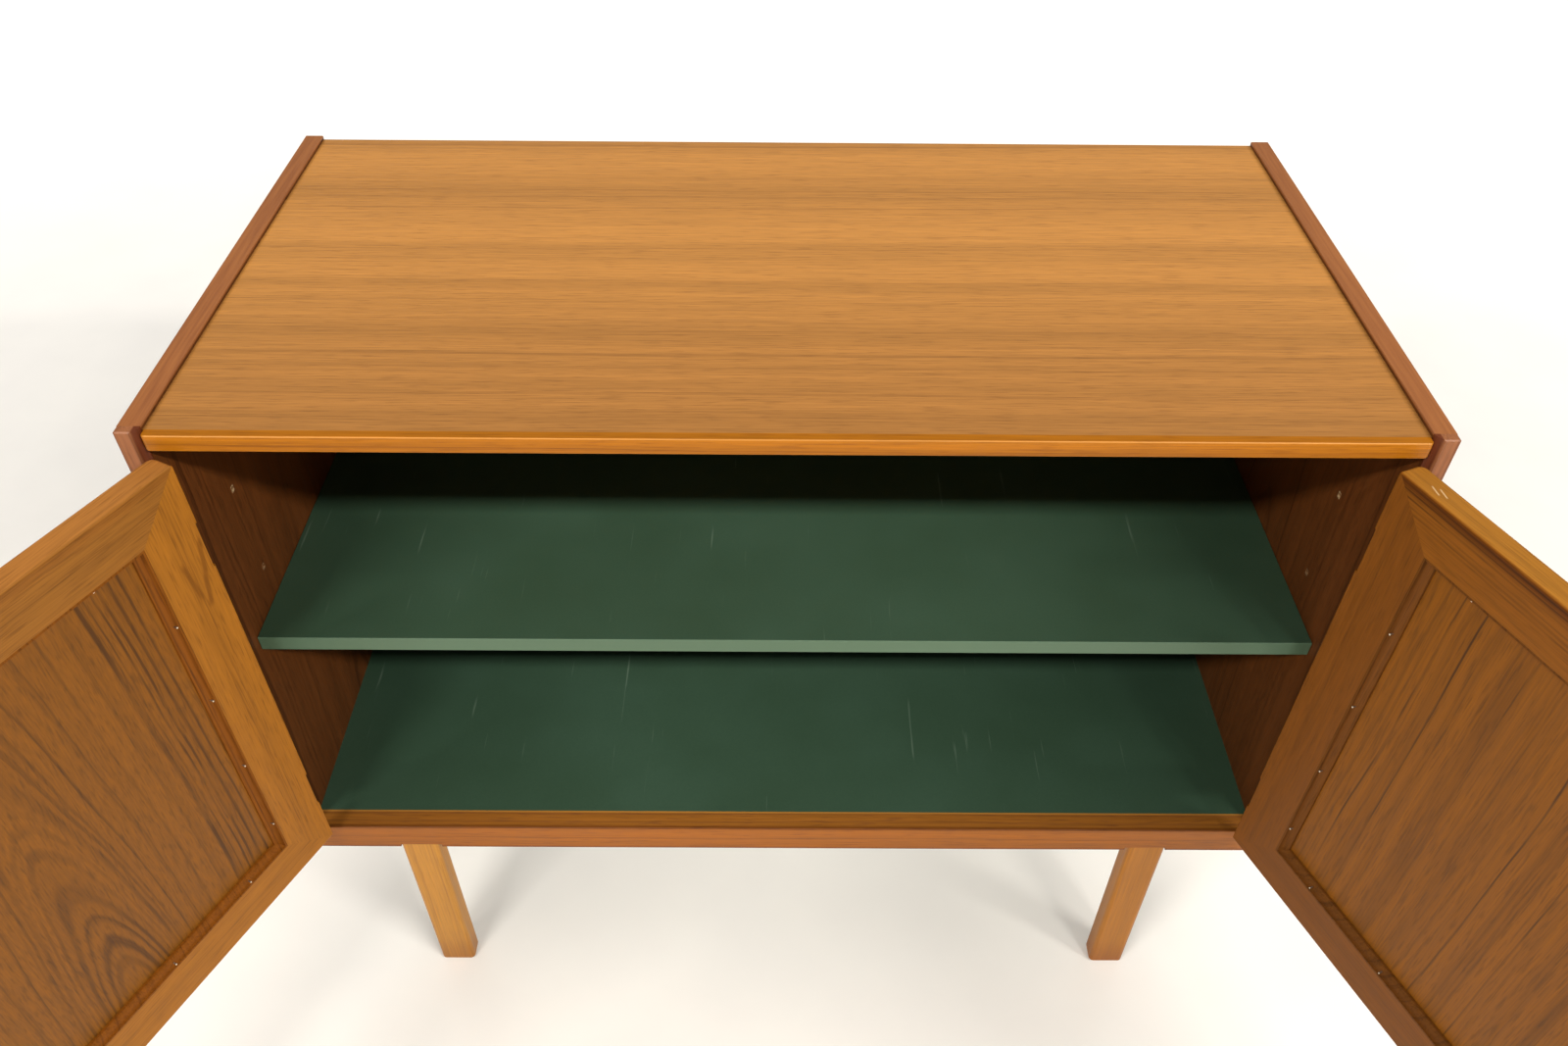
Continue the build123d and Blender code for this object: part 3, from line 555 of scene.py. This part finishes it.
# ---- metals, plastic and stopping ---------------------------------------------------------------
def worn_metal(name, fresh, dull, roughness):
    """Plated or drawn metal, clouded by handling."""
    material, tree, shader = new_material(name, Metallic=1.0, Roughness=roughness)
    place = add(tree, "ShaderNodeTexCoord")["Object"]
    cloud = add(tree, "ShaderNodeTexNoise", None, {"Vector": place, "Scale": 1 / (4.545 * MM), "Detail": 3.0})
    colour = add(tree, "ShaderNodeValToRGB", None, {"Fac": cloud["Fac"]},
                 stops=[(0.35, linear(fresh)), (0.7, linear(dull))])["Color"]
    tree.links.new(colour, shader.inputs["Base Color"])
    return material


def moulded_plastic(name, base):
    """Brown moulded polystyrene with a faint grain from the tool."""
    material, tree, shader = new_material(name, Roughness=0.45, Base_Color=linear(base))
    place = add(tree, "ShaderNodeTexCoord")["Object"]
    grain = add(tree, "ShaderNodeTexNoise", None, {"Vector": place, "Scale": 1 / (0.6667 * MM)})["Fac"]
    relief(tree, shader, grain, 0.2, 0.05 * MM)
    return material


def wax_stopping(name, pale, dark):
    """Chalky wax filler, matt and uneven at half a millimetre."""
    material, tree, shader = new_material(name, Roughness=0.7, IOR=1.45)
    place = add(tree, "ShaderNodeTexCoord")["Object"]
    chalk = add(tree, "ShaderNodeTexNoise", None, {"Vector": place, "Scale": 1 / (0.5556 * MM)})["Fac"]
    colour = add(tree, "ShaderNodeValToRGB", None, {"Fac": chalk},
                 stops=[(0.35, linear(pale)), (0.65, linear(dark))])["Color"]
    tree.links.new(colour, shader.inputs["Base Color"])
    return material


brass = worn_metal("drawn_brass", "#C9A45A", "#9C7A3C", 0.35)
steel = worn_metal("zinc_plated_steel", "#B8B8B4", "#8C8C88", 0.38)
stopping = wax_stopping("pale_wood_stopping", "#F2E9D6", "#DCCDB0")
dress(brass, "hinge_side_screws")
dress(steel, "back_panel_screws", "leg_bolts", "leg_glides", "catch_screws", "shelf_pins")
for side in OUTWARD_SIGN:
    dress(brass, f"{side}_hinge_pins", f"{side}_door_hinge_screws",
          *[f"{side}_{row}_hinge_{part}_leaf" for row in ("lower", "upper") for part in ("side", "door")])
    dress(steel, *[f"{side}_door_{part}" for part in ("bead_pins", "knob_screw", "strike_plate")])
dress(moulded_plastic("moulded_brown_polystyrene", "#4A2F1E"), "magnetic_catches")


# ---- screws with driver slots, and the stopping over the bead pins --------------------------------------
SLOT_TWIST = 2.4        # radians from one screw's slot to the next, so that no two look set by a machine


def islands(node):
    """The loose solids of a CAD node, each as a list of its corners."""
    solids = bmesh.new()
    solids.from_mesh(frame["nodes"][node].data)
    bmesh.ops.remove_doubles(solids, verts=solids.verts, dist=1e-6)
    seen, found = set(), []
    for first in solids.verts:
        if first in seen:
            continue
        seen.add(first)
        front, corners = [first], []
        while front:
            corner = front.pop()
            corners.append(corner.co.copy())
            for edge in corner.link_edges:
                other = edge.other_vert(corner)
                if other not in seen:
                    seen.add(other)
                    front.append(other)
        found.append(corners)
    solids.free()
    return found


def select_faces(piece, chosen):
    """Leaves edit mode with only the chosen faces of a piece selected, then enters it again."""
    bpy.ops.object.mode_set(mode="EDIT")
    bpy.ops.mesh.select_mode(type="FACE")
    bpy.ops.mesh.select_all(action="DESELECT")
    bpy.ops.object.mode_set(mode="OBJECT")
    for polygon in piece.data.polygons:
        polygon.select = chosen(polygon)
    bpy.ops.object.mode_set(mode="EDIT")


def slotted_screw(name, radius, length):
    """A countersunk wood screw, head up at the origin: domed a little, slotted, tapering to its point."""
    neck = 0.5 * radius
    head = radius - neck            # a countersink of 45 degrees is as high as it is wide
    rim = 0.3 * head
    point = 3 * head
    bpy.ops.object.select_all(action="DESELECT")
    bpy.ops.mesh.primitive_cylinder_add(vertices=24, radius=radius, depth=rim, location=(0, 0, -rim / 2))
    screw = bpy.context.object
    screw.name = name
    select_faces(screw, lambda face: face.normal.z > 0.9)
    bpy.ops.mesh.inset(thickness=0.2 * radius)
    bpy.ops.transform.translate(value=(0, 0, 0.12 * head))
    select_faces(screw, lambda face: face.normal.z < -0.9)
    for drop, share in ((0.9 * head, neck / radius), (length - 1.2 * head - point, 0.92), (point, 0.15)):
        bpy.ops.mesh.extrude_region_move(TRANSFORM_OT_translate={"value": (0, 0, -drop)})
        bpy.ops.transform.resize(value=(share, share, 1))
    bpy.ops.object.mode_set(mode="OBJECT")
    bpy.ops.object.select_all(action="DESELECT")
    bpy.ops.mesh.primitive_cube_add(size=1, location=(0, 0, 0),
                                    scale=(2.4 * radius, 0.28 * radius, 0.8 * head))
    blade = bpy.context.object
    bpy.ops.object.transform_apply(location=True, rotation=True, scale=True)
    blade.select_set(False)
    screw.select_set(True)
    bpy.context.view_layer.objects.active = screw
    cut = screw.modifiers.new("slot", "BOOLEAN")
    cut.operation, cut.object, cut.solver = "DIFFERENCE", blade, "EXACT"
    bpy.ops.object.modifier_apply(modifier="slot")
    bpy.ops.object.transform_apply(location=True, rotation=True, scale=True)
    bpy.ops.object.shade_smooth_by_angle(angle=math.radians(35))
    bpy.data.objects.remove(blade)
    return screw


def stopping_dot(name, radius, thickness):
    """A drop of stopping at the origin: a round flat plug, domed in two steps."""
    bpy.ops.object.select_all(action="DESELECT")
    bpy.ops.mesh.primitive_cylinder_add(vertices=12, radius=radius, depth=thickness, location=(0, 0, 0))
    dot = bpy.context.object
    dot.name = name
    for share in (0.3, 0.35):
        select_faces(dot, lambda face: face.normal.z > 0.99)
        bpy.ops.mesh.inset(thickness=share * radius)
        bpy.ops.transform.translate(value=(0, 0, 0.3 * thickness * (1.3 - share)))
    bpy.ops.object.mode_set(mode="OBJECT")
    bpy.ops.object.shade_smooth_by_angle(angle=math.radians(50))
    return dot


def seat(corners, way):
    """Where a solid's outer end lies: its middle, how far out it reaches, and the way out."""
    return sum(corners, Vector()) / len(corners), max(corner.dot(way) for corner in corners), way


def seat_copies(pattern, name, seats, material, body):
    """Copies a pattern, head up at the origin, to each seat, and joins the copies as one piece."""
    copies = []
    for i, (middle, far, way) in enumerate(seats):
        turn = way.to_track_quat("Z", "Y").to_matrix().to_4x4() @ Matrix.Rotation(i * SLOT_TWIST, 4, "Z")
        copy = pattern.copy()
        copy.data = pattern.data.copy()
        copy.data.transform(Matrix.Translation(middle + way * (far - middle.dot(way))) @ turn)
        scene.collection.objects.link(copy)
        copies.append(copy)
    bpy.data.objects.remove(pattern)
    bpy.ops.object.select_all(action="DESELECT")
    for copy in copies:
        copy.select_set(True)
    bpy.context.view_layer.objects.active = copies[0]
    bpy.ops.object.join()
    piece = bpy.context.object
    piece.name = name
    piece.data.materials.clear()
    piece.data.materials.append(material)
    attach(piece, body)
    return piece


def fit_screws(name, node, material, body, head_way):
    """Puts a slotted screw in the place of each solid of a node."""
    solids = islands(node)
    middle, far, way = seat(solids[0], head_way(solids[0][0]))
    radius = max((corner - middle - way * (corner - middle).dot(way)).length for corner in solids[0])
    length = far - min(corner.dot(way) for corner in solids[0])
    seats = [seat(corners, head_way(corners[0])) for corners in solids]
    piece = seat_copies(slotted_screw(name, radius, length), name, seats, material, body)
    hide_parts(node)


for side, way in inner_way.items():
    name = f"{side}_door_bead_pin_stopping"
    seats = [seat(corners, way) for corners in islands(f"{side}_door_bead_pins")]
    seat_copies(stopping_dot(name, 0.72 * MM, 0.5 * MM), name, seats, stopping, f"{side}_door")
fit_screws("back_panel_slotted_screws", "back_panel_screws", steel, "cabinet", lambda at: BACKWARD)
fit_screws("catch_slotted_screws", "catch_screws", steel, "cabinet", lambda at: -UP)
fit_screws("side_leaf_slotted_screws", "hinge_side_screws", brass, "cabinet",
           lambda at: RIGHT if at.x < 0 else -RIGHT)
for side, swing in door_swing.items():
    hinge_way = swing @ (RIGHT * OUTWARD_SIGN[side])
    fit_screws(f"{side}_door_leaf_slotted_screws", f"{side}_door_hinge_screws", brass,
               f"{side}_door", lambda at: hinge_way)


# ---- floor ---------------------------------------------------------------------------------------
def white_sweep(name):
    """White painted studio floor, glowing of itself away from the cabinet as if lit by its own lamps."""
    material, tree, shader = new_material(name, Roughness=0.6, Emission_Color=linear("#FFFDF8"))
    place = add(tree, "ShaderNodeTexCoord")["Object"]
    cloud = add(tree, "ShaderNodeTexNoise", None, {"Vector": place, "Scale": 1 / (200 * MM), "Detail": 5.0})
    colour = add(tree, "ShaderNodeValToRGB", None, {"Fac": cloud["Fac"]},
                 stops=[(0.3, linear("#EBE7E1")), (0.7, linear("#F1EDE6"))])["Color"]
    tree.links.new(colour, shader.inputs["Base Color"])
    away = add(tree, "ShaderNodeVectorMath", {"operation": "LENGTH"}, {0: place})["Value"]
    glow = add(tree, "ShaderNodeMapRange", SOFT,
               {"Value": away, "From Min": 1.2, "From Max": 5.0, "To Min": 0.05, "To Max": 0.9})["Result"]
    tree.links.new(glow, shader.inputs["Emission Strength"])
    return material


bpy.ops.object.select_all(action="DESELECT")
bpy.ops.mesh.primitive_plane_add(size=30.0, location=(0, 0, 0))
studio_floor = bpy.context.object
studio_floor.name = "studio_floor"
studio_floor.data.materials.append(white_sweep("white_studio_floor"))

# ---- light ---------------------------------------------------------------------------------------
scene.view_settings.view_transform = "Standard"
world = bpy.data.worlds.new("white_studio")
scene.world = world
world.use_nodes = True
sky = world.node_tree
background = sky.nodes["Background"]
# the backdrop is seen as white, but the room lights the cabinet with much less than that
seen = add(sky, "ShaderNodeLightPath")["Is Camera Ray"]
strength = add(sky, "ShaderNodeMapRange", None, {"Value": seen, "To Min": 0.22, "To Max": 1.02})["Result"]
background.inputs["Color"].default_value = linear("#FFFFFF")
sky.links.new(strength, background.inputs["Strength"])


def soft_light(name, place, target, length, breadth, power, colour):
    """A rectangular lamp turned to face a point."""
    lamp = bpy.data.lights.new(name, "AREA")
    lamp.shape = "RECTANGLE"
    lamp.size, lamp.size_y = length, breadth
    lamp.energy = power
    lamp.color = linear(colour)[:3]
    holder = bpy.data.objects.new(name, lamp)
    scene.collection.objects.link(holder)
    holder.location = place
    holder.rotation_euler = (Vector(target) - Vector(place)).to_track_quat("-Z", "Y").to_euler()
    return holder


# two strips above and in front of the cabinet, with a gap over its middle, and a wash on the sweep behind
for name, x, length, power in (("left_ceiling_strip", -1.7, 1.9, 109.0),
                               ("right_ceiling_strip", 2.5, 2.9, 177.0)):
    soft_light(name, (x, -2.3, 3.1), (x, 0.0, 0.6), length, 0.19, power, "#FFFCF6")
wash = soft_light("backdrop_wash", (0.0, 3.4, 2.6), (0.0, 2.6, 0.0), 6.0, 1.6, 100.0, "#FFFFFF")
wash.visible_glossy = False

# ---- camera --------------------------------------------------------------------------------------
CAMERA_PLACE = Vector((-0.0060, -0.9506, 1.3525))
LOOKING_DOWN, YAW, ROLL = 42.706, -0.275, 0.512     # degrees
camera_data = bpy.data.cameras.new("camera")
camera_data.sensor_width = 36.0
camera_data.lens = 27.88
camera_data.clip_start = 0.02
camera = bpy.data.objects.new("camera", camera_data)
scene.collection.objects.link(camera)
camera.matrix_world = (Matrix.Translation(CAMERA_PLACE) @ Matrix.Rotation(math.radians(YAW), 4, "Z")
                       @ Matrix.Rotation(math.radians(90 - LOOKING_DOWN), 4, "X")
                       @ Matrix.Rotation(math.radians(ROLL), 4, "Z"))
scene.camera = camera
